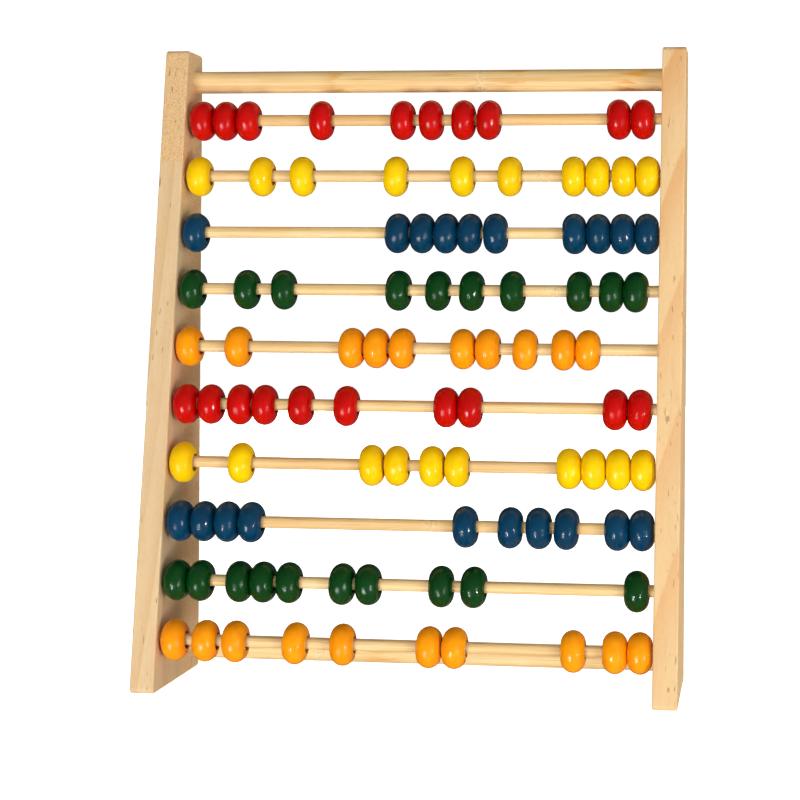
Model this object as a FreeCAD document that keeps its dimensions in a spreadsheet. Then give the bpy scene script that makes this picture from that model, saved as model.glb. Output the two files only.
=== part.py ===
"""Ten-row wooden counting frame (abacus), 266 x 75 x 319 mm.

Two solid side panels, upright at the back and leaning back at the front, are held apart by two thick
crossbars. Ten thin rods run between them, one under the other, along a line parallel to the leaning
front edges, and each rod carries ten bored beads that slide along it.

Axes: +X to the right, +Y to the back, +Z up. The origin is the middle of the footprint, on the surface
that the panels stand on. All lengths are in millimetres.
"""
import FreeCAD, Part
import Sketcher
import math
import os

TOLERANCE = 0.001  # lengths closer than this are the same

# The driving dimensions. Each one is a cell of the sheet, under this name.
SIZES = {
    # side panels
    "inner_width": 242.0,  # clear width between the two panels
    "panel_thickness": 12.0,
    "panel_height": 319.0,
    "base_depth": 75.0,  # front to back, at the bottom
    "top_depth": 24.0,  # front to back, at the top
    "corner_radius": 2.5,  # the four corners of a panel, seen from the side
    "edge_radius": 0.8,  # the sanded long edges
    # rods and crossbars
    "row_count": 10,
    "first_row": 34.5,  # from the top of the leaning front edge, along it
    "row_pitch": 29.1,  # from rod to rod, along the same edge
    "rod_setback": 9.0,  # rod axis behind the front edge, square to it
    "rod_diameter": 6.0,
    "crossbar_diameter": 11.5,
    "crossbar_from_back": 11.0,  # both crossbar axes, in front of the back edge
    "top_crossbar_drop": 15.0,  # axis below the top of the panels
    "bottom_crossbar_rise": 12.0,  # axis above the bottom of the panels
    "socket_depth": 8.0,  # blind holes in the inner faces
    "socket_gap": 0.5,  # left between a bar's end and the bottom of its hole
    "glue_gap": 0.02,  # all round a bar in its hole
    "bar_chamfer": 0.5,
    # beads
    "bead_diameter": 20.5,
    "bead_width": 11.9,
    "bead_bore": 8.0,
    "bead_flat_radius": 5.0,  # where the flat side ends and the round rim starts
    "bead_shoulder": 2.0,  # radius of the rim's two shoulders
    "bead_mouth": 0.8,  # radius of the bore's rounded mouths
    "bead_drop": 0.35,  # a bead sits on its rod, its axis this far below the rod's
    "bead_pitch": 12.0,  # centre to centre, of two beads side by side
}

# How the beads stand on their rods, top row first: the row's colour, then its groups from left to right.
# A group's first number is the free space on its left, and each further number is the space before its
# next bead, so a group of four beads has four numbers.
ROWS = (
    ("red", ((1, 0, 0), (26,), (30, 2.5, 4.5, 1), (53.5, 0))),
    ("yellow", ((1,), (20.5,), (9,), (36,), (22,), (12,), (20, 0, 1, 0))),
    ("blue", ((0.5,), (92, 0.5, 0, 0, 1), (27.5, 0, 0, 0))),
    ("green", ((0.5,), (16, 7), (46.5, 8, 5, 8.5), (21, 4, 0))),
    ("orange", ((0.5,), (13,), (46, 0.5, 1), (18.5, 0.5, 6.5, 7, 0))),
    ("red", ((0.5, 0.5, 3, 0.5), (6.5,), (11,), (38, 0), (59.5, 0))),
    ("yellow", ((0.5,), (17.5,), (54, 0.5, 5.5, 0.5), (43, 0, 0, 0))),
    ("blue", ((0.5, 0, 0, 0), (95,), (10, 2, 1.5), (12.5, 0))),
    ("green", ((0.5, 0), (7.5, 0, 1), (14.5, 1), (24, 4), (67,))),
    ("orange", ((1, 3.5, 3), (18,), (11.5,), (30.5, 0.5), (45.5,), (8, 0))),
)

# Expressions over the sheet's cells. The panel's front edge runs from its front foot to its top.
BACK = "sheet.base_depth / 2"
FRONT_TOP = "(sheet.base_depth / 2 - sheet.top_depth)"
EDGE_RUN = "(sheet.base_depth - sheet.top_depth)"
EDGE_LENGTH = f"sqrt({EDGE_RUN}^2 + sheet.panel_height^2)"
EDGE_SINE = f"({EDGE_RUN} / {EDGE_LENGTH})"
EDGE_COSINE = f"(sheet.panel_height / {EDGE_LENGTH})"
CROSSBAR_Y = "(sheet.base_depth / 2 - sheet.crossbar_from_back)"
TOP_BAR_Z = "(sheet.panel_height - sheet.top_crossbar_drop)"
BOTTOM_BAR_Z = "sheet.bottom_crossbar_rise"
BAR_LENGTH = "(sheet.inner_width + 2 * (sheet.socket_depth - sheet.socket_gap))"


def row_yz(index):
    """The rod axis of a row, as expressions for Y and Z: down the front edge, then square to it."""
    along = f"(sheet.first_row + {index} * sheet.row_pitch)"
    y = f"({FRONT_TOP} - {EDGE_SINE} * {along} + {EDGE_COSINE} * sheet.rod_setback)"
    z = f"(sheet.panel_height - {EDGE_COSINE} * {along} - {EDGE_SINE} * sheet.rod_setback)"
    return y, z


def space_name(index, bead):
    """The sheet's name for the free space on a bead's left, rows and beads counted from 0."""
    return f"row_{index + 1:02d}_space_{bead + 1:02d}"


def make_sheet(doc):
    """The spreadsheet that drives every size, and the place of every bead on its rod."""
    sheet = doc.addObject("Spreadsheet::Sheet", "sheet")
    cells = dict(SIZES)
    for index, (_, groups) in enumerate(ROWS):
        spaces = [space for group in groups for space in group]
        cells.update({space_name(index, bead): space for bead, space in enumerate(spaces)})
    for line, (alias, value) in enumerate(cells.items(), start=1):
        sheet.set(f"A{line}", alias)
        sheet.set(f"B{line}", str(value))
        sheet.setAlias(f"B{line}", alias)
    doc.recompute()


def make_body(doc, name):
    body = doc.addObject("PartDesign::Body", name)
    body.Label = name
    return body


def origin_feature(body, role):
    return next(f for f in body.Origin.OriginFeatures if f.Role == role)


def new_sketch(body, name, role):
    sketch = body.newObject("Sketcher::SketchObject", name)
    sketch.AttachmentSupport = (origin_feature(body, role), [""])
    sketch.MapMode = "FlatFace"
    return sketch


def constrain(sketch, kind, *args, name=None, expression=None):
    """Add a constraint, and bind it to an expression where it has one."""
    index = sketch.addConstraint(Sketcher.Constraint(kind, *args))
    if name:
        sketch.renameConstraint(index, name)
        sketch.setExpression(f"Constraints.{name}", expression)


# --- side panels ---


def draw_panel_outline(sketch):
    """Four corners: front foot, back foot, back top and front top. The back edge is upright."""
    half, height, top = SIZES["base_depth"] / 2, SIZES["panel_height"], SIZES["top_depth"]
    corners = [(-half, 0), (half, 0), (half, height), (half - top, height)]
    points = [FreeCAD.Vector(y, z, 0) for y, z in corners]
    for start, end in zip(points, points[1:] + points[:1]):
        sketch.addGeometry(Part.LineSegment(start, end))
    bottom, back, upper, front = range(4)
    for line, following in zip((bottom, back, upper, front), (back, upper, front, bottom)):
        constrain(sketch, "Coincident", line, 2, following, 1)
    constrain(sketch, "Horizontal", bottom)
    constrain(sketch, "Vertical", back)
    constrain(sketch, "Horizontal", upper)
    constrain(sketch, "PointOnObject", bottom, 1, -1)
    constrain(sketch, "DistanceX", -1, 1, bottom, 2, half, name="back_foot", expression=BACK)
    constrain(sketch, "DistanceX", bottom, 2 * half, name="base", expression="sheet.base_depth")
    constrain(sketch, "DistanceY", back, height, name="height", expression="sheet.panel_height")
    constrain(sketch, "DistanceX", upper, 2, upper, 1, top, name="top", expression="sheet.top_depth")


def draw_sockets(sketch, places, diameter, size_name):
    """Round sockets in the panel's inner face, one for each (y, z) pair of expressions."""
    for index, (y, z) in enumerate(places):
        # A socket starts near its place, and its two distances then move it there.
        start = FreeCAD.Vector(1, 1 + index, 0)
        circle = Part.Circle(start, FreeCAD.Vector(0, 0, 1), diameter / 2)
        sketch.addGeometry(circle)
        constrain(sketch, "DistanceX", -1, 1, index, 3, start.x, name=f"y_{index}", expression=y)
        constrain(sketch, "DistanceY", -1, 1, index, 3, start.y, name=f"z_{index}", expression=z)
        constrain(
            sketch, "Diameter", index, diameter,
            name=f"diameter_{index}", expression=f"sheet.{size_name} + 2 * sheet.glue_gap",
        )


def edge_names(shape, wanted):
    return [f"Edge{i}" for i, edge in enumerate(shape.Edges, start=1) if wanted(edge)]


def runs_along_x(edge):
    ends = [vertex.Point for vertex in edge.Vertexes]
    return abs(ends[0].x - ends[-1].x) > TOLERANCE


def add_fillet(body, base, name, edges, size_name):
    fillet = body.newObject("PartDesign::Fillet", name)
    fillet.Base = (base, edges)
    fillet.setExpression("Radius", f"sheet.{size_name}")
    return fillet


def make_side_panel(doc, name, side):
    """One side panel, its inner face at side * inner_width / 2. side is -1 on the left, 1 on the right."""
    body = make_body(doc, name)
    body.setExpression("Placement.Base.x", f"{side} * sheet.inner_width / 2")
    outline = new_sketch(body, f"{name}_outline", "YZ_Plane")
    draw_panel_outline(outline)

    board = body.newObject("PartDesign::Pad", f"{name}_board")
    board.Profile = outline
    board.setExpression("Length", "sheet.panel_thickness")
    board.Reversed = side < 0
    doc.recompute()
    corners = edge_names(board.Shape, runs_along_x)
    rounded = add_fillet(body, board, f"{name}_corners", corners, "corner_radius")
    doc.recompute()
    rims = edge_names(rounded.Shape, lambda edge: not runs_along_x(edge))
    eased = add_fillet(body, rounded, f"{name}_edges", rims, "edge_radius")
    doc.recompute()

    rod_places = [row_yz(index) for index in range(SIZES["row_count"])]
    crossbar_places = [(CROSSBAR_Y, TOP_BAR_Z), (CROSSBAR_Y, BOTTOM_BAR_Z)]
    sockets = (("rod", rod_places, "rod_diameter"), ("crossbar", crossbar_places, "crossbar_diameter"))
    solid_volume = eased.Shape.Volume
    for label, places, size_name in sockets:
        sketch = new_sketch(body, f"{name}_{label}_sockets", "YZ_Plane")
        draw_sockets(sketch, places, SIZES[size_name], size_name)
        pocket = body.newObject("PartDesign::Pocket", f"{name}_{label}_pocket")
        pocket.Profile = sketch
        pocket.setExpression("Length", "sheet.socket_depth")
        pocket.Reversed = side > 0
        doc.recompute()
        check_removed(name, solid_volume - pocket.Shape.Volume, len(places), SIZES[size_name])
        solid_volume = pocket.Shape.Volume
    return body


def check_removed(name, removed, count, diameter):
    """Stop if the sockets took away less or more than their own volume."""
    bore = diameter + 2 * SIZES["glue_gap"]
    expected = count * Part.makeCylinder(bore / 2, SIZES["socket_depth"]).Volume
    if abs(removed - expected) > 0.001 * expected:
        raise RuntimeError(f"{name}: sockets removed {removed:.1f} mm3, not {expected:.1f} mm3")


# --- rods and crossbars ---


def make_bar(doc, name, size_name, y, z):
    """A round bar along X, chamfered at both ends, from socket to socket."""
    body = make_body(doc, name)
    bar = body.newObject("PartDesign::AdditiveCylinder", f"{name}_round")
    bar.setExpression("Radius", f"sheet.{size_name} / 2")
    bar.setExpression("Height", BAR_LENGTH)
    doc.recompute()
    rims = edge_names(bar.Shape, lambda edge: isinstance(edge.Curve, Part.Circle))
    chamfer = body.newObject("PartDesign::Chamfer", f"{name}_ends")
    chamfer.Base = (bar, rims)
    chamfer.setExpression("Size", "sheet.bar_chamfer")
    body.Placement.Rotation = FreeCAD.Rotation(FreeCAD.Vector(0, 1, 0), 90)
    body.setExpression("Placement.Base.x", f"-{BAR_LENGTH} / 2")
    body.setExpression("Placement.Base.y", y)
    body.setExpression("Placement.Base.z", z)
    return body


# --- beads ---


def crown_radius():
    """Radius of the arc over the rim that meets both shoulders smoothly and peaks at the full diameter."""
    peak = SIZES["bead_diameter"] / 2
    shoulder = SIZES["bead_shoulder"]
    across = SIZES["bead_width"] / 2 - shoulder
    rise = peak - SIZES["bead_flat_radius"]
    return (across**2 + rise**2 - shoulder**2) / (2 * (rise - shoulder))


CROWN_RADIUS = (
    "(((sheet.bead_width / 2 - sheet.bead_shoulder)^2"
    " + (sheet.bead_diameter / 2 - sheet.bead_flat_radius)^2 - sheet.bead_shoulder^2)"
    " / (2 * (sheet.bead_diameter / 2 - sheet.bead_flat_radius - sheet.bead_shoulder)))"
)


def arc(x, y, radius, start_degrees, end_degrees):
    circle = Part.Circle(FreeCAD.Vector(x, y, 0), FreeCAD.Vector(0, 0, 1), radius)
    return Part.ArcOfCircle(circle, math.radians(start_degrees), math.radians(end_degrees))


def draw_bead_profile(sketch):
    """Half a section of a bead above its axis: bore, rounded mouths, flat sides, shoulders and crown."""
    bore = SIZES["bead_bore"] / 2
    mouth = SIZES["bead_mouth"]
    side = SIZES["bead_width"] / 2
    flat = SIZES["bead_flat_radius"]
    shoulder = SIZES["bead_shoulder"]
    crown = crown_radius()
    crown_centre = SIZES["bead_diameter"] / 2 - crown
    meet = math.degrees(math.atan2(flat - crown_centre, side - shoulder))
    vector = FreeCAD.Vector
    geometry = [
        Part.LineSegment(vector(mouth - side, bore, 0), vector(side - mouth, bore, 0)),
        arc(side - mouth, bore + mouth, mouth, 270, 360),
        Part.LineSegment(vector(side, bore + mouth, 0), vector(side, flat, 0)),
        arc(side - shoulder, flat, shoulder, 0, meet),
        arc(0, crown_centre, crown, meet, 180 - meet),
        arc(shoulder - side, flat, shoulder, 180 - meet, 180),
        Part.LineSegment(vector(-side, flat, 0), vector(-side, bore + mouth, 0)),
        arc(mouth - side, bore + mouth, mouth, 180, 270),
    ]
    for piece in geometry:
        sketch.addGeometry(piece)
    bore_line, mouth_1, side_1, shoulder_1, top, shoulder_2, side_2, mouth_2 = range(8)
    joints = [
        (bore_line, 2, mouth_1, 1), (mouth_1, 2, side_1, 1), (side_1, 2, shoulder_1, 1),
        (shoulder_1, 2, top, 1), (top, 2, shoulder_2, 1), (shoulder_2, 2, side_2, 1),
        (side_2, 2, mouth_2, 1), (mouth_2, 2, bore_line, 1),
    ]
    for joint in joints:
        constrain(sketch, "Tangent", *joint)
    constrain(sketch, "Horizontal", bore_line)
    constrain(sketch, "Vertical", side_1)
    constrain(sketch, "Vertical", side_2)
    constrain(sketch, "Equal", mouth_1, mouth_2)
    constrain(sketch, "Equal", shoulder_1, shoulder_2)
    half_width = "sheet.bead_width / 2"
    flat_radius = "sheet.bead_flat_radius"
    constrain(sketch, "DistanceY", -1, 1, bore_line, 1, bore, name="bore", expression="sheet.bead_bore / 2")
    constrain(sketch, "DistanceX", -1, 1, side_1, 1, side, name="right", expression=half_width)
    constrain(sketch, "DistanceX", side_2, 1, -1, 1, side, name="left", expression=half_width)
    constrain(sketch, "DistanceY", -1, 1, side_1, 2, flat, name="flat_right", expression=flat_radius)
    constrain(sketch, "DistanceY", -1, 1, side_2, 1, flat, name="flat_left", expression=flat_radius)
    constrain(sketch, "Radius", mouth_1, mouth, name="mouth", expression="sheet.bead_mouth")
    constrain(sketch, "Radius", shoulder_1, shoulder, name="shoulder", expression="sheet.bead_shoulder")
    constrain(sketch, "Radius", top, crown, name="crown", expression=CROWN_RADIUS)


def make_bead(doc):
    """The one bead that all the others are links to, turned about X, its middle at the origin."""
    body = make_body(doc, "bead")
    profile = new_sketch(body, "bead_profile", "XY_Plane")
    draw_bead_profile(profile)
    turned = body.newObject("PartDesign::Revolution", "bead_turned")
    turned.Profile = profile
    turned.ReferenceAxis = (profile, ["H_Axis"])
    turned.Angle = 360
    doc.recompute()
    return body


def make_bead_row(doc, bead, index, colour, groups):
    """A row's beads, each placed against the bead on its left, gathered into one compound for each group."""
    y, z = row_yz(index)
    before = "-1mm * (sheet.inner_width + sheet.bead_pitch) / 2"
    made = []
    count = 0
    for group_number, spaces in enumerate(groups, start=1):
        name = f"row_{index + 1:02d}_{colour}_beads_{group_number}"
        links = []
        for _ in spaces:
            link = doc.addObject("App::Link", f"row_{index + 1:02d}_bead_{count + 1:02d}")
            link.LinkedObject = bead
            step = f"1mm * (sheet.bead_pitch + sheet.{space_name(index, count)})"
            link.setExpression("Placement.Base.x", f"{before} + {step}")
            link.setExpression("Placement.Base.y", y)
            link.setExpression("Placement.Base.z", f"{z} - sheet.bead_drop")
            before = f"{link.Name}.Placement.Base.x"
            links.append(link)
            count += 1
        group = doc.addObject("Part::Compound", name)
        group.Label = name
        group.Links = links
        made.append(group)
    return made


# --- the whole frame ---


def check(doc, pieces):
    """Stop before anything is written if an object failed or a piece has no valid shape."""
    failed = [o.Name for o in doc.Objects if {"Invalid", "Error"} & set(o.State)]
    if failed:
        raise RuntimeError(f"failed objects: {failed}")
    for piece in pieces:
        if piece.Shape.isNull() or not piece.Shape.isValid():
            raise RuntimeError(f"{piece.Label} has no valid shape")


def main():
    doc = FreeCAD.newDocument("counting_frame")
    make_sheet(doc)
    pieces = [
        make_side_panel(doc, "left_side_panel", -1),
        make_side_panel(doc, "right_side_panel", 1),
        make_bar(doc, "top_crossbar", "crossbar_diameter", CROSSBAR_Y, TOP_BAR_Z),
        make_bar(doc, "bottom_crossbar", "crossbar_diameter", CROSSBAR_Y, BOTTOM_BAR_Z),
    ]
    bead = make_bead(doc)
    for index, (colour, groups) in enumerate(ROWS):
        pieces.append(make_bar(doc, f"rod_{index + 1:02d}", "rod_diameter", *row_yz(index)))
        pieces += make_bead_row(doc, bead, index, colour, groups)
    doc.recompute()
    check(doc, pieces)
    os.makedirs("parts", exist_ok=True)
    for piece in pieces:
        piece.Shape.exportStep(f"parts/{piece.Label}.step")
    print(f"{len(pieces)} pieces written")


main()
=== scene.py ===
"""Children's counting frame: two pine side panels, bamboo bars and rods, and a hundred lacquered beads."""

import math
import random

import bpy
import numpy as np
from mathutils import Matrix, Vector


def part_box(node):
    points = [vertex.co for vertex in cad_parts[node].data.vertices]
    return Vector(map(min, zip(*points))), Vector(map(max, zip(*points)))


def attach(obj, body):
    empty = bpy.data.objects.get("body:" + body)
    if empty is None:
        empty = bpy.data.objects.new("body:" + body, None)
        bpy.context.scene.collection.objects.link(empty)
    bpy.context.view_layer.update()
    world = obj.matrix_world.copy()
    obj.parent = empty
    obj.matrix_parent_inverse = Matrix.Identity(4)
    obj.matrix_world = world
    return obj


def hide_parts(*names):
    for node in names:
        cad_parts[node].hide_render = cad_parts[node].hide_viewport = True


MM = 0.001
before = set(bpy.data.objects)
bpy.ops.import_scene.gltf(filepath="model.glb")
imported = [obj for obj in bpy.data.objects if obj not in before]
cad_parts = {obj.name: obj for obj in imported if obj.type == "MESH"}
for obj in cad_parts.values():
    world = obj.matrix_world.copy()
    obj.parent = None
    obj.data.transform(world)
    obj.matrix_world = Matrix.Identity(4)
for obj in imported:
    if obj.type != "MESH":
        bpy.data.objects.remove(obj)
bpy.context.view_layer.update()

# Sizes of the turned pieces, in millimetres.
BEAD_WIDTH = 11.9
BEAD_DIAMETER = 20.5
BORE_RADIUS = 4.0
FLAT_RADIUS = 5.0
MOUTH_RADIUS = 0.8
SHOULDER_RADIUS = 2.0
ROD_RADIUS = 3.0
CROSSBAR_RADIUS = 5.75
SEATED = 7.5  # the length of a dowel's end that stays true to size inside its hole
CHAMFER = 0.5  # on a dowel's ends
LUMPS = 0.022  # the depth of a bead's slow lumps
DIMPLES_AT = 9.0  # how far from a bead's axis its dimples lie

# Points around a turned piece.
BEAD_SIDES = 72
BAR_SIDES = 48

# Each lacquer where it is thin and where it is thick.
LACQUERS = {
    "red": ((198, 4, 0), (140, 0, 0)),
    "yellow": ((250, 206, 0), (232, 158, 0)),
    "blue": ((2, 58, 88), (0, 32, 52)),
    "green": ((5, 62, 17), (0, 36, 9)),
    "orange": ((255, 158, 6), (226, 106, 0)),
}


def linear(colour):
    """A colour given as three 8-bit display values, as a shader takes it."""
    channels = []
    for value in colour:
        value /= 255
        channels.append(value / 12.92 if value <= 0.04045 else ((value + 0.055) / 1.055) ** 2.4)
    return (*channels, 1.0)


# --------------------------------------------------------------------------------------------------
# Materials
# --------------------------------------------------------------------------------------------------


class Finish:
    """A material under construction, with short names for the nodes it is made of."""

    def __init__(self, name):
        self.material = bpy.data.materials.new(name)
        self.material.use_nodes = True
        self.tree = self.material.node_tree
        self.tree.nodes.clear()
        output = self.add("ShaderNodeOutputMaterial")
        self.shader = self.add("ShaderNodeBsdfPrincipled")
        self.tree.links.new(self.shader.outputs[0], output.inputs[0])

    def add(self, kind, **settings):
        node = self.tree.nodes.new(kind)
        for key, value in settings.items():
            setattr(node, key, value)
        return node

    def feed(self, socket, value):
        if isinstance(value, bpy.types.NodeSocket):
            self.tree.links.new(value, socket)
        else:
            socket.default_value = value

    def math(self, operation, *values):
        node = self.add("ShaderNodeMath", operation=operation)
        for socket, value in zip(node.inputs, values):
            self.feed(socket, value)
        return node.outputs[0]

    def vector(self, operation, *values):
        node = self.add("ShaderNodeVectorMath", operation=operation)
        for socket, value in zip(node.inputs, values):
            self.feed(socket, value)
        return node.outputs["Value" if operation in ("LENGTH", "DISTANCE", "DOT_PRODUCT") else "Vector"]

    def parts(self, vector):
        node = self.add("ShaderNodeSeparateXYZ")
        self.feed(node.inputs[0], vector)
        return node.outputs

    def join(self, x, y, z):
        node = self.add("ShaderNodeCombineXYZ")
        for socket, value in zip(node.inputs, (x, y, z)):
            self.feed(socket, value)
        return node.outputs[0]

    def noise(self, place, scale, detail=2.0, roughness=0.5, seed=None, output="Fac"):
        """Noise with about scale features to the metre; scale may be three numbers. seed shifts it."""
        if not isinstance(scale, (int, float)):
            place, scale = self.vector("MULTIPLY", place, scale), 1.0
        node = self.add("ShaderNodeTexNoise", noise_dimensions="3D" if seed is None else "4D")
        self.feed(node.inputs["Vector"], place)
        if seed is not None:
            self.feed(node.inputs["W"], seed)
        node.inputs["Scale"].default_value = scale
        node.inputs["Detail"].default_value = detail
        node.inputs["Roughness"].default_value = roughness
        return node.outputs[output]

    def ramp(self, value, *stops):
        """A grey or colour ramp; each stop is a place and a grey level or a colour."""
        node = self.add("ShaderNodeValToRGB")
        points = node.color_ramp.elements
        while len(points) < len(stops):
            points.new(0.5)
        for point, (place, level) in zip(points, stops):
            point.position = place
            point.color = level if isinstance(level, tuple) else (level, level, level, 1.0)
        self.feed(node.inputs[0], value)
        return node.outputs["Color"]

    def step(self, value, low, high):
        """0 below low and 1 above high, smooth between."""
        node = self.add("ShaderNodeMapRange", interpolation_type="SMOOTHSTEP")
        self.feed(node.inputs["Value"], value)
        self.feed(node.inputs["From Min"], low)
        self.feed(node.inputs["From Max"], high)
        return node.outputs[0]

    def mix(self, share, a, b):
        node = self.add("ShaderNodeMix", data_type="RGBA")
        self.feed(node.inputs["Factor"], share)
        for socket, value in zip([s for s in node.inputs if s.type == "RGBA"], (a, b)):
            self.feed(socket, value)
        return [s for s in node.outputs if s.type == "RGBA"][0]

    def attribute(self, name):
        return self.add("ShaderNodeAttribute", attribute_type="GEOMETRY", attribute_name=name)

    def bump(self, height, distance):
        node = self.add("ShaderNodeBump")
        self.feed(node.inputs["Height"], height)
        node.inputs["Distance"].default_value = distance
        node.inputs["Strength"].default_value = 1.0
        return node.outputs[0]


def pine(name, pith, spacing, wander, seed, glue_line, tones, speckle, shift=0.0):
    """Planed pine, its grain along Z. pith is where the tree's centre runs, in x and y; spacing and wander are of
    its rings, and shift moves them. glue_line is the y of the joint between the board's two staves, and tones are the
    colours of the early wood, the late wood and the rear stave."""
    finish = Finish(name)
    place = finish.add("ShaderNodeTexCoord").outputs["Object"]

    # The two staves are cut from different stock: a shift of the rings and a change of tone at the glue line.
    y = finish.parts(place)["Y"]
    rear = finish.step(y, glue_line - 0.05 * MM, glue_line + 0.05 * MM)
    slow = finish.noise(place, (9.0, 9.0, 2.2), detail=1.0, seed=seed, output="Color")
    slow = finish.vector("MULTIPLY", finish.vector("SUBTRACT", slow, (0.5, 0.5, 0.5)), (wander, wander, 0.0))
    fine = finish.noise(place, (60.0, 60.0, 6.0), detail=2.0, seed=seed + 1.0, output="Color")
    fine = finish.vector("MULTIPLY", finish.vector("SUBTRACT", fine, (0.5, 0.5, 0.5)), (0.0022, 0.0022, 0.0))
    across = finish.vector("SUBTRACT", finish.vector("MULTIPLY", place, (1.0, 1.0, 0.0)), (pith[0], pith[1], 0.0))
    across = finish.vector("ADD", across, finish.vector("ADD", slow, fine))
    other_stock = finish.vector("MULTIPLY", finish.join(rear, rear, 0.0), (0.031, 0.017, 0.0))
    across = finish.vector("ADD", across, other_stock)
    radius = finish.vector("LENGTH", across)
    ring = finish.math("ADD", finish.math("MULTIPLY", radius, 1 / spacing), shift)
    phase = finish.math("FRACT", ring)
    year = finish.math("FLOOR", ring)
    chance = finish.add("ShaderNodeTexWhiteNoise", noise_dimensions="1D")
    finish.feed(chance.inputs["W"], finish.math("ADD", year, seed))
    strength = finish.math("ADD", finish.math("MULTIPLY", chance.outputs["Value"], 0.5), 0.5)
    latewood = finish.ramp(
        phase, (0.0, 0.0), (0.3, 0.04), (0.6, 0.4), (0.85, 0.85), (0.95, 1.0), (0.985, 0.6), (1.0, 0.0)
    )
    latewood = finish.math("MULTIPLY", latewood, strength)

    fibre = finish.noise(place, (1500.0, 1500.0, 26.0), detail=3.0, roughness=0.65, seed=seed + 3.0)
    streak = finish.noise(place, (330.0, 330.0, 5.0), detail=2.0, seed=seed + 4.0)
    patch = finish.noise(place, (26.0, 26.0, 7.0), detail=2.0, seed=seed + 5.0)
    speck = finish.noise(place, (2300.0, 2300.0, 1300.0), detail=1.0, seed=seed + 6.0)
    canal = finish.noise(place, (900.0, 900.0, 62.0), detail=0.0, seed=seed + 7.0)
    crowd = finish.noise(place, (70.0, 70.0, 18.0), detail=1.0, seed=seed + 8.0)
    canal = finish.step(finish.math("ADD", canal, finish.math("MULTIPLY", crowd, 0.34)), 0.92, 0.96)

    early, late, rear_tone = (linear(tone) for tone in tones)
    darker = tuple(0.90 * c for c in early[:3]) + (1.0,)
    colour = finish.mix(finish.step(patch, 0.35, 0.75), early, darker)
    colour = finish.mix(finish.math("MULTIPLY", latewood, 0.9), colour, late)
    rear_share = finish.math("MULTIPLY", rear, finish.math("ADD", 0.55, finish.math("MULTIPLY", streak, 0.6)))
    colour = finish.mix(rear_share, colour, rear_tone)
    dots = finish.math("ADD", 0.10, finish.math("MULTIPLY", rear, speckle))
    for mark, depth, tone in (
        (finish.step(fibre, 0.42, 0.72), 0.16, (196, 148, 98)),
        (finish.step(streak, 0.45, 0.75), 0.18, (204, 152, 98)),
        (finish.step(speck, 0.46, 0.66), dots, (176, 124, 76)),
        (canal, 0.55, (146, 90, 48)),
    ):
        colour = finish.mix(finish.math("MULTIPLY", mark, depth), colour, linear(tone))
    finish.feed(finish.shader.inputs["Base Color"], colour)

    rough = finish.math("SUBTRACT", 0.60, finish.math("MULTIPLY", latewood, 0.12))
    finish.feed(finish.shader.inputs["Roughness"], rough)
    finish.shader.inputs["Specular IOR Level"].default_value = 0.35
    relief = finish.math("MULTIPLY", fibre, 0.55)
    relief = finish.math("ADD", relief, finish.math("MULTIPLY", latewood, 0.35))
    relief = finish.math("ADD", relief, finish.math("MULTIPLY", speck, 0.25))
    relief = finish.math("SUBTRACT", relief, finish.math("MULTIPLY", canal, 0.8))
    finish.feed(finish.shader.inputs["Normal"], finish.bump(relief, 0.06 * MM))
    return finish.material


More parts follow.
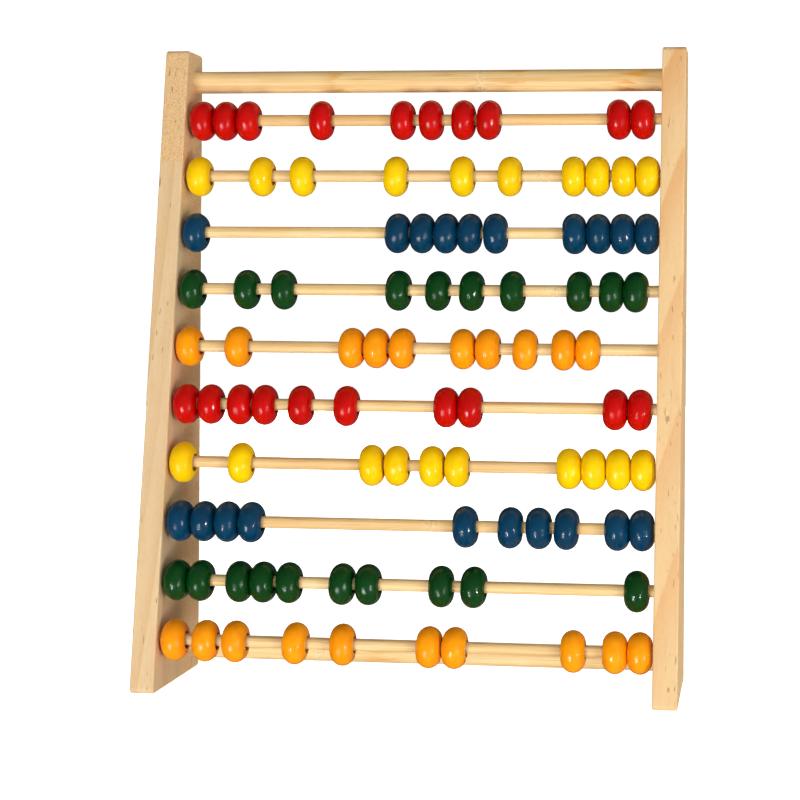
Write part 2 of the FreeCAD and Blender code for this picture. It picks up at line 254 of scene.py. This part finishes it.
def bamboo(name, seed, warmth=0.0, joints=(), stains=()):
    """Split and turned bamboo along X. joints are the x of its nodes; stains are x, half length and depth of tone;
    warmth turns pale wood to orange."""
    finish = Finish(name)
    place = finish.attribute("turned").outputs["Vector"]
    x = finish.parts(place)["X"]

    def bell(at, half):
        """1 where x is at, falling away over half, both in mm."""
        gap = finish.math("MULTIPLY", finish.math("SUBTRACT", x, at * MM), 1 / (half * MM))
        return finish.math("POWER", math.e, finish.math("MULTIPLY", finish.math("MULTIPLY", gap, gap), -1.0))

    # At a node the fibres bunch up and cross, and brown scars show.
    node_band = 0.0
    for at in joints:
        node_band = finish.math("ADD", node_band, bell(at, 3.6))
    if joints:
        tangle = finish.noise(place, (420.0, 420.0, 420.0), detail=1.0, seed=seed + 1.0, output="Color")
        tangle = finish.vector("SUBTRACT", tangle, (0.5, 0.5, 0.5))
        spread = finish.math("MULTIPLY", node_band, 1.6 * MM)
        place = finish.vector("ADD", place, finish.vector("MULTIPLY", tangle, finish.join(0.0, spread, spread)))

    wide = finish.noise(place, (5.0, 420.0, 420.0), detail=2.0, roughness=0.6, seed=seed + 2.0)
    fine = finish.noise(place, (16.0, 2100.0, 2100.0), detail=2.0, roughness=0.6, seed=seed + 3.0)
    bundle = finish.noise(place, (46.0, 1500.0, 1500.0), detail=0.0, seed=seed + 4.0)
    cloud = finish.noise(place, (30.0, 90.0, 90.0), detail=2.0, seed=seed + 5.0)
    colour = finish.ramp(
        cloud, (0.25, linear((241, 214, 160))), (0.5, linear((238, 207, 148))), (0.78, linear((230, 195, 132)))
    )
    colour = finish.mix(warmth, colour, linear((226, 168, 98)))
    for mark, low, high, depth, tone in (
        (wide, 0.44, 0.66, 0.60, (214, 168, 104)),
        (fine, 0.45, 0.68, 0.42, (196, 146, 82)),
        (bundle, 0.68, 0.80, 0.50, (176, 122, 66)),
    ):
        colour = finish.mix(finish.math("MULTIPLY", finish.step(mark, low, high), depth), colour, linear(tone))
    if joints:
        scar = finish.noise(place, (900.0, 900.0, 900.0), detail=1.0, seed=seed + 6.0)
        scar = finish.math("MULTIPLY", finish.step(scar, 0.50, 0.66), finish.math("MULTIPLY", node_band, 0.6))
        colour = finish.mix(scar, colour, linear((182, 128, 78)))
        colour = finish.mix(finish.math("MULTIPLY", node_band, 0.18), colour, linear((250, 232, 190)))
    for at, half, depth in stains:
        blot = finish.noise(place, (60.0, 330.0, 330.0), detail=2.0, seed=seed + 7.0 + at)
        blot = finish.math("MULTIPLY", finish.step(blot, 0.46, 0.58), finish.math("MULTIPLY", bell(at, half), depth))
        colour = finish.mix(blot, colour, linear((214, 152, 62)))
    finish.feed(finish.shader.inputs["Base Color"], colour)

    rough = finish.math("ADD", 0.42, finish.math("MULTIPLY", fine, 0.2))
    finish.feed(finish.shader.inputs["Roughness"], rough)
    finish.shader.inputs["Specular IOR Level"].default_value = 0.4
    relief = finish.math("ADD", finish.math("MULTIPLY", fine, 0.6), finish.math("MULTIPLY", wide, 0.8))
    finish.feed(finish.shader.inputs["Normal"], finish.bump(relief, 0.05 * MM))
    return finish.material


def lacquer(name, thin, thick):
    """Dipped lacquer over turned wood: its own tone on each bead, faint turning rings, runs and dimples."""
    finish = Finish(name)
    place = finish.attribute("turned").outputs["Vector"]
    seed = finish.attribute("seed").outputs["Fac"]
    tone = finish.attribute("tone").outputs["Fac"]
    x, y, z = finish.parts(place)
    radius = finish.vector("LENGTH", finish.join(0.0, y, z))

    base, deep = linear(thin), linear(thick)
    light = tuple(min(1.0, 1.2 * c + 0.001) for c in base[:3]) + (1.0,)
    uneven = finish.noise(place, 210.0, detail=2.0, seed=seed)
    shade = finish.mix(finish.step(uneven, 0.32, 0.72), deep, light)
    shade = finish.mix(0.22, base, shade)
    shade = finish.mix(tone, shade, deep)
    rings = finish.noise(finish.join(finish.math("MULTIPLY", x, 2300.0), 0.0, 0.0), 1.0, 2.0, seed=seed)
    shade = finish.mix(finish.math("MULTIPLY", finish.step(rings, 0.55, 0.75), 0.16), shade, deep)
    # Painted shade: the bore is darkened from its mouths inward, where little light gets in.
    mouth = finish.step(radius, 4.7 * MM, 3.9 * MM)
    painted_bore_shade = (0.3 * deep[0], 0.12 * deep[1], 0.12 * deep[2], 1.0)
    shade = finish.mix(finish.math("MULTIPLY", mouth, 0.85), shade, painted_bore_shade)
    finish.feed(finish.shader.inputs["Base Color"], shade)

    smear = finish.noise(place, (90.0, 260.0, 260.0), detail=2.0, seed=seed)
    finish.feed(finish.shader.inputs["Roughness"], finish.math("ADD", 0.10, finish.math("MULTIPLY", smear, 0.17)))
    finish.shader.inputs["Specular IOR Level"].default_value = 0.32
    wave = finish.noise(place, 260.0, detail=1.0, seed=seed)
    relief = finish.math("ADD", wave, finish.math("MULTIPLY", rings, 0.07))
    finish.feed(finish.shader.inputs["Normal"], finish.bump(relief, 0.034 * MM))
    return finish.material


# --------------------------------------------------------------------------------------------------
# Meshes
# --------------------------------------------------------------------------------------------------


def make_piece(name, points, faces, turned, material, body, replaced, values=()):
    """A smooth mesh from points in metres. turned is each point's place about its own axis, for the material."""
    mesh = bpy.data.meshes.new(name)
    mesh.from_pydata([tuple(p) for p in points], [], faces)
    mesh.polygons.foreach_set("use_smooth", [True] * len(mesh.polygons))
    layer = mesh.attributes.new("turned", "FLOAT_VECTOR", "POINT")
    layer.data.foreach_set("vector", np.asarray(turned, dtype=np.float32).ravel())
    for key, value in values:
        layer = mesh.attributes.new(key, "FLOAT", "POINT")
        layer.data.foreach_set("value", np.full(len(points), value, dtype=np.float32))
    mesh.materials.append(material)
    mesh.update()
    piece = bpy.data.objects.new(name, mesh)
    bpy.context.scene.collection.objects.link(piece)
    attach(piece, body)
    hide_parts(replaced)
    return piece


def ring_faces(rings, around, closed):
    """Quads between successive rings of points; a closed set joins its last ring to its first."""
    faces = []
    for j in range(rings if closed else rings - 1):
        a, b = j * around, ((j + 1) % rings) * around
        for i in range(around):
            k = (i + 1) % around
            faces.append((a + i, b + i, b + k, a + k))
    return faces


def bead_profile(width, diameter, shoulder):
    """Half section of a bead as points along and out from its axis, in mm: bore, mouths, flats, shoulders, crown."""
    side, peak = width / 2, diameter / 2
    across, rise = side - shoulder, peak - FLAT_RADIUS
    crown = (across**2 + rise**2 - shoulder**2) / (2 * (rise - shoulder))
    centre = peak - crown
    meet = math.atan2(FLAT_RADIUS - centre, side - shoulder)

    def sweep(x, r, radius, start, end, count):
        angles = np.linspace(start, end, count)
        return [(x + radius * math.cos(a), r + radius * math.sin(a)) for a in angles]

    mouth = MOUTH_RADIUS
    half = sweep(side - mouth, BORE_RADIUS + mouth, mouth, -math.pi / 2, 0.0, 6)
    half += sweep(side - shoulder, FLAT_RADIUS, shoulder, 0.0, meet, 9)
    top = sweep(0.0, centre, crown, meet, math.pi - meet, 17)[1:-1]
    other = [(-x, r) for x, r in reversed(half)]
    bore = [(x, BORE_RADIUS) for x in (-0.45 * side, 0.0, 0.45 * side)]
    return np.array(half + top + other + bore)


def profile_normals(profile):
    """Outward directions of a closed profile that runs anticlockwise."""
    along = np.roll(profile, -1, axis=0) - np.roll(profile, 1, axis=0)
    normals = np.stack([along[:, 1], -along[:, 0]], axis=1)
    return normals / np.linalg.norm(normals, axis=1, keepdims=True)


def make_bead(name, centre, tilt, swing, draw, material, body, replaced):
    """One bead about its CAD centre, in mm: as large as the CAD bead or a little smaller, and leaning on its rod."""
    profile = bead_profile(
        BEAD_WIDTH - draw.uniform(0.0, 0.25),
        BEAD_DIAMETER - draw.uniform(0.0, 0.4),
        SHOULDER_RADIUS + draw.uniform(-0.12, 0.15),
    )
    angles = np.linspace(0.0, 2 * math.pi, BEAD_SIDES, endpoint=False)
    cosines, sines = np.cos(angles), np.sin(angles)

    def spun(section):
        along, out = section[:, 0], section[:, 1, None]
        return np.stack([np.repeat(along, BEAD_SIDES), (out * cosines).ravel(), (out * sines).ravel()], axis=1)

    shape, outward = spun(profile), spun(profile_normals(profile))
    turned = shape.copy()

    # Turned by hand and dipped: a slow lumpiness, and a few shallow dimples on the outside.
    crown = np.clip((np.repeat(profile[:, 1], BEAD_SIDES) - FLAT_RADIUS) / 3.0, 0.0, 1.0)
    sink = np.zeros(len(shape))
    for waves in (2, 3, 5):
        phase, lean = draw.uniform(0, 6.28), draw.uniform(-0.5, 0.5)
        angle = np.tile(angles, len(profile)) * waves + phase + lean * shape[:, 0]
        sink += LUMPS / waves * 2 * (1 + np.cos(angle))
    for _ in range(draw.randint(3, 6)):
        turn, along = draw.uniform(0, 6.28), draw.uniform(-4.0, 4.0)
        spot = np.array([along, DIMPLES_AT * math.cos(turn), DIMPLES_AT * math.sin(turn)])
        size, depth = draw.uniform(0.8, 2.4), draw.uniform(0.03, 0.1)
        gap = np.linalg.norm(shape - spot, axis=1)
        sink += depth * np.exp(-((gap / size) ** 2))
    shape -= outward * (sink * crown)[:, None]

    place = Matrix.Rotation(tilt, 3, "Y") @ Matrix.Rotation(swing, 3, "Z")
    shape = shape @ np.array(place).T + centre
    faces = ring_faces(len(profile), BEAD_SIDES, closed=True)
    values = (("seed", draw.uniform(0.0, 90.0)), ("tone", draw.uniform(0.0, 0.2)))
    return make_piece(name, shape * MM, faces, turned * MM, material, body, replaced, values)


def make_bar(name, node, radius, draw, material, joints=(), sag=0.0):
    """A bamboo rod or bar between the CAD node's ends, with flat facets, a slight bow and swollen joints."""
    low, high = (np.array(corner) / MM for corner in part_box(node))
    middle = (low + high) / 2
    ends = [low[0], low[0] + 0.12, low[0] + CHAMFER]
    body = list(np.linspace(low[0] + 1.5, high[0] - 1.5, 161))
    for at in joints:
        body += [at + d for d in (-3.0, -2.2, -1.5, -1.0, -0.5, 0.0, 0.5, 1.0, 1.5, 2.2, 3.0)]
    stations = np.array(sorted(ends + body + [low[0] + high[0] - e for e in ends]))
    stations = stations[np.concatenate([[True], np.diff(stations) > 0.02])]
    angles = np.linspace(0.0, 2 * math.pi, BAR_SIDES, endpoint=False)
    facet = [(draw.randint(2, 4), draw.uniform(0, 6.28), draw.uniform(-0.01, 0.01)) for _ in range(3)]
    bow = (draw.uniform(-0.15, 0.15), -sag)
    drift = [(draw.uniform(0.02, 0.05), draw.uniform(0, 6.28)) for _ in range(3)]
    points, turned = [], []
    for x in stations:
        inset = min(x - low[0], high[0] - x)
        chamfer = max(0.0, CHAMFER - inset)
        inside = min(1.0, max(0.0, (inset - SEATED) / 4.0))
        swell = sum(
            math.exp(-(((x - at) / 1.3) ** 2)) - 0.8 * math.exp(-(((x - at - 1.9) / 0.8) ** 2)) for at in joints
        )
        # How far the surface lies inside the true radius: a slow drift, less at the swollen joints, and the facets.
        thin = 0.035 + 0.03 * sum(math.sin(f * x + p) for f, p in drift) / 3 - 0.035 * swell
        arc = math.sin(math.pi * (x - low[0]) / (high[0] - low[0]))
        for a in angles:
            flat = sum(0.018 * (1 + math.cos(n * a + p + s * x)) for n, p, s in facet)
            r = radius - chamfer - inside * max(0.0, thin + flat)
            y, z = r * math.cos(a), r * math.sin(a)
            turned.append((x, y, z))
            points.append((x, middle[1] + y + bow[0] * arc, middle[2] + z + bow[1] * arc))
    faces = ring_faces(len(stations), BAR_SIDES, closed=False)
    last = (len(stations) - 1) * BAR_SIDES
    faces.append(tuple(range(BAR_SIDES)))
    faces.append(tuple(last + i for i in reversed(range(BAR_SIDES))))
    return make_piece(name, np.array(points) * MM, faces, np.array(turned) * MM, material, "frame", node)


def loose_parts(node):
    """The boxes, in mm, of the separate closed shells in a CAD node's mesh, from left to right."""
    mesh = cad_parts[node].data
    points = np.empty(len(mesh.vertices) * 3)
    mesh.vertices.foreach_get("co", points)
    points = points.reshape(-1, 3) / MM
    # Vertices that share a place are one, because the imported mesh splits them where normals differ.
    _, label = np.unique(np.round(points, 3), axis=0, return_inverse=True)
    label = label.ravel()
    edges = np.empty(len(mesh.edges) * 2, dtype=np.int64)
    mesh.edges.foreach_get("vertices", edges)
    ends = label[edges.reshape(-1, 2)]
    root = np.arange(label.max() + 1)
    while True:
        lowest = np.minimum(root[ends[:, 0]], root[ends[:, 1]])
        before = root.copy()
        np.minimum.at(root, ends[:, 0], lowest)
        np.minimum.at(root, ends[:, 1], lowest)
        root = root[root]
        if np.array_equal(root, before):
            break
    group = root[label]
    boxes = [(points[group == g].min(axis=0), points[group == g].max(axis=0)) for g in np.unique(group)]
    return sorted(boxes, key=lambda box: box[0][0])


# --------------------------------------------------------------------------------------------------
# The object
# --------------------------------------------------------------------------------------------------

panels = {
    "left_side_panel": pine(
        "pine_left",
        pith=(-0.235, 0.035), spacing=7.5 * MM, wander=0.016, seed=3.0, glue_line=4.3 * MM,
        tones=((220, 190, 147), (211, 174, 127), (229, 191, 138)), speckle=0.50,
    ),
    "right_side_panel": pine(
        "pine_right",
        pith=(0.246, -0.275), spacing=9.5 * MM, wander=0.005, seed=11.0, glue_line=29.0 * MM,
        tones=((232, 196, 144), (220, 162, 103), (224, 180, 128)), speckle=0.0, shift=0.174,
    ),
}
for node, wood in panels.items():
    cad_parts[node].data.materials.clear()
    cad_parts[node].data.materials.append(wood)

bars = random.Random(5)
make_bar(
    "top_bar", "top_crossbar", CROSSBAR_RADIUS, bars,
    bamboo("bamboo_top_bar", 21.0, 0.12, joints=(28.0,), stains=((-43, 7, 0.8), (48, 10, 0.7), (106, 9, 1.0))),
    joints=(28.0,),
)
make_bar(
    "bottom_bar", "bottom_crossbar", CROSSBAR_RADIUS, bars,
    bamboo("bamboo_bottom_bar", 33.0, 0.1, joints=(-52.0,), stains=((-20, 8, 0.6),)),
    joints=(-52.0,),
)
# The x of the node in each rod that shows one, and how orange each rod is.
ROD_JOINTS = {2: 61.0, 4: 70.0, 8: 12.0}
ROD_WARMTH = (0.45, 0.2, 0.0, 0.0, 0.05, 0.12, 0.3, 0.2, 0.1, 0.1)
for row in range(1, 11):
    joints = (ROD_JOINTS[row],) if row in ROD_JOINTS else ()
    make_bar(
        f"counting_rod_{row:02d}", f"rod_{row:02d}", ROD_RADIUS, bars,
        bamboo(f"bamboo_rod_{row:02d}", 40.0 + 7 * row, ROD_WARMTH[row - 1], joints=joints),
        joints=joints, sag=bars.uniform(0.05, 0.25),
    )

finishes = {name: lacquer(f"lacquer_{name}", *tones) for name, tones in LACQUERS.items()}
beads = random.Random(17)
TOUCHING = 1.0  # a gap, in mm, below which beads count as pressed together
for row in range(1, 11):
    groups = sorted(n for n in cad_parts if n.startswith(f"row_{row:02d}_"))
    found = [(box, node) for node in groups for box in loose_parts(node)]
    found.sort(key=lambda item: item[0][0][0])
    tilt = swing = 0.0
    before = None
    for number, ((low, high), node) in enumerate(found, start=1):
        colour = node.split("_")[2]
        if before is None or low[0] - before > TOUCHING:  # beads pressed together lean alike
            tilt, swing = math.radians(beads.uniform(-2.0, 4.0)), math.radians(beads.uniform(-2.5, 2.5))
        before = high[0]
        centre = (low + high) / 2
        name = f"bead_{row:02d}_{number:02d}"
        make_bead(name, centre, tilt, swing, beads, finishes[colour], node, node)

# --------------------------------------------------------------------------------------------------
# Studio
# --------------------------------------------------------------------------------------------------

scene = bpy.context.scene
scene.view_settings.view_transform = "Standard"


def set_stage(name, points, faces):
    """A white surface for the camera alone, so that the light on the object comes from the sky and the lamps."""
    mesh = bpy.data.meshes.new(name)
    mesh.from_pydata(points, [], faces)
    mesh.materials.append(paper.material)
    piece = bpy.data.objects.new(name, mesh)
    scene.collection.objects.link(piece)
    piece.visible_diffuse = piece.visible_glossy = piece.visible_shadow = False


paper = Finish("pale_paper")
paper.shader.inputs["Base Color"].default_value = (0.88, 0.87, 0.86, 1.0)
paper.shader.inputs["Roughness"].default_value = 0.9
paper.shader.inputs["Specular IOR Level"].default_value = 0.1
paper.shader.inputs["Emission Color"].default_value = (1.0, 1.0, 1.0, 1.0)
paper.shader.inputs["Emission Strength"].default_value = 0.95
REACH, SIDES, WALL, PEAK = 12.0, 32, 12.0, 16.0
set_stage("floor", [(-REACH, -REACH, 0), (REACH, -REACH, 0), (REACH, REACH, 0), (-REACH, REACH, 0)], [(0, 1, 2, 3)])
turns = [2 * math.pi * i / SIDES for i in range(SIDES)]
rim = [(REACH * math.cos(a), REACH * math.sin(a)) for a in turns]
# The backdrop is a wall around the floor that starts just below it and closes overhead in a cone.
set_stage(
    "backdrop",
    [(x, y, -0.01) for x, y in rim] + [(x, y, WALL) for x, y in rim] + [(0, 0, PEAK)],
    [(i, (i + 1) % SIDES, SIDES + (i + 1) % SIDES, SIDES + i) for i in range(SIDES)]
    + [(SIDES + i, SIDES + (i + 1) % SIDES, 2 * SIDES) for i in range(SIDES)],
)

# The sky is brightest to the right, in front and below, and dim to the left, behind and overhead.
SKY_SLOPE = (0.10, -0.10, -0.03)
SKY_LEVEL, SKY_LEAST = 0.17, 0.05
SKY_COLOUR = (1.0, 0.985, 0.965, 1.0)
world = bpy.data.worlds.new("studio")
scene.world = world
world.use_nodes = True
sky = world.node_tree
sky.nodes.clear()
sky_out = sky.nodes.new("ShaderNodeOutputWorld")
sky_light = sky.nodes.new("ShaderNodeBackground")
sky_place = sky.nodes.new("ShaderNodeTexCoord")
sky_slope = sky.nodes.new("ShaderNodeVectorMath")
sky_slope.operation = "DOT_PRODUCT"
sky_slope.inputs[1].default_value = SKY_SLOPE
sky_level = sky.nodes.new("ShaderNodeMath")
sky_level.operation = "ADD"
sky_level.inputs[1].default_value = SKY_LEVEL
sky_least = sky.nodes.new("ShaderNodeMath")
sky_least.operation = "MAXIMUM"
sky_least.inputs[1].default_value = SKY_LEAST
sky_light.inputs["Color"].default_value = SKY_COLOUR
for out, into in (
    (sky_place.outputs["Generated"], sky_slope.inputs[0]),
    (sky_slope.outputs["Value"], sky_level.inputs[0]),
    (sky_level.outputs[0], sky_least.inputs[0]),
    (sky_least.outputs[0], sky_light.inputs["Strength"]),
    (sky_light.outputs[0], sky_out.inputs[0]),
):
    sky.links.new(out, into)


MIDDLE = (0.0, 0.0, 0.16)
WHITE = (1.0, 1.0, 1.0)


def softbox(name, azimuth, elevation, distance, width, height, radiance, colour=WHITE):
    """A rectangular lamp aimed at the middle of the object. azimuth 0 is straight in front, positive to the right."""
    data = bpy.data.lights.new(name, "AREA")
    data.shape = "RECTANGLE"
    data.size, data.size_y = width, height
    data.energy = math.pi * width * height * radiance
    data.color = colour
    data.cycles.use_multiple_importance_sampling = False
    lamp = bpy.data.objects.new(name, data)
    scene.collection.objects.link(lamp)
    a, e = math.radians(azimuth), math.radians(elevation)
    aim = Vector(MIDDLE)
    away = Vector((math.sin(a) * math.cos(e), -math.cos(a) * math.cos(e), math.sin(e)))
    lamp.location = aim + away * distance
    lamp.rotation_euler = away.to_track_quat("Z", "Y").to_euler()
    lamp.visible_camera = False
    return lamp


# The two softboxes give each bead its two highlights.
softbox("softbox_left", azimuth=-20, elevation=-31, distance=2.0, width=0.75, height=0.95, radiance=12.5)
softbox("softbox_right", azimuth=50, elevation=-16, distance=1.8, width=0.42, height=0.72, radiance=15.0)
# Soft lamps, all as far away, that light each side and show in no gloss.
FILL_DISTANCE = 2.3
for side, azimuth, elevation, size, radiance, colour in (
    ("front", 20, 5, 2.0, 0.95, WHITE),
    ("left", -95, 10, 1.5, 2.0, WHITE),
    ("right", 91, 0, 0.7, 14.5, (0.80, 0.90, 1.0)),
    ("back", 190, 12, 1.2, 7.0, WHITE),
    ("top", 0, 80, 1.5, 1.3, WHITE),
):
    fill = softbox(f"fill_{side}", azimuth, elevation, FILL_DISTANCE, size, size, radiance, colour)
    fill.visible_glossy = False

# The camera stands right of the object and looks past it, so the object lies left of and below the lens axis.
CAMERA_PLACE = (0.170, -0.914, 0.1942)
CAMERA_TURN = (6.716, 0.242, 0.415)  # azimuth, elevation and roll, in degrees
CAMERA_LENS = 83.984
CAMERA_SHIFT = (-0.175, -0.11875)

azimuth, elevation, roll = (math.radians(angle) for angle in CAMERA_TURN)
forward = Vector(
    (-math.sin(azimuth) * math.cos(elevation), math.cos(azimuth) * math.cos(elevation), -math.sin(elevation))
)
level = Vector((math.cos(azimuth), math.sin(azimuth), 0.0))
upright = level.cross(forward)
right = level * math.cos(roll) + upright * math.sin(roll)
up = upright * math.cos(roll) - level * math.sin(roll)
camera_data = bpy.data.cameras.new("camera")
camera_data.sensor_width = 36.0
camera_data.lens = CAMERA_LENS
camera_data.shift_x, camera_data.shift_y = CAMERA_SHIFT
camera_data.clip_end = 100.0
camera = bpy.data.objects.new("camera", camera_data)
scene.collection.objects.link(camera)
turn = Matrix((right, up, -forward)).transposed().to_4x4()
camera.matrix_world = Matrix.Translation(CAMERA_PLACE) @ turn
scene.camera = camera
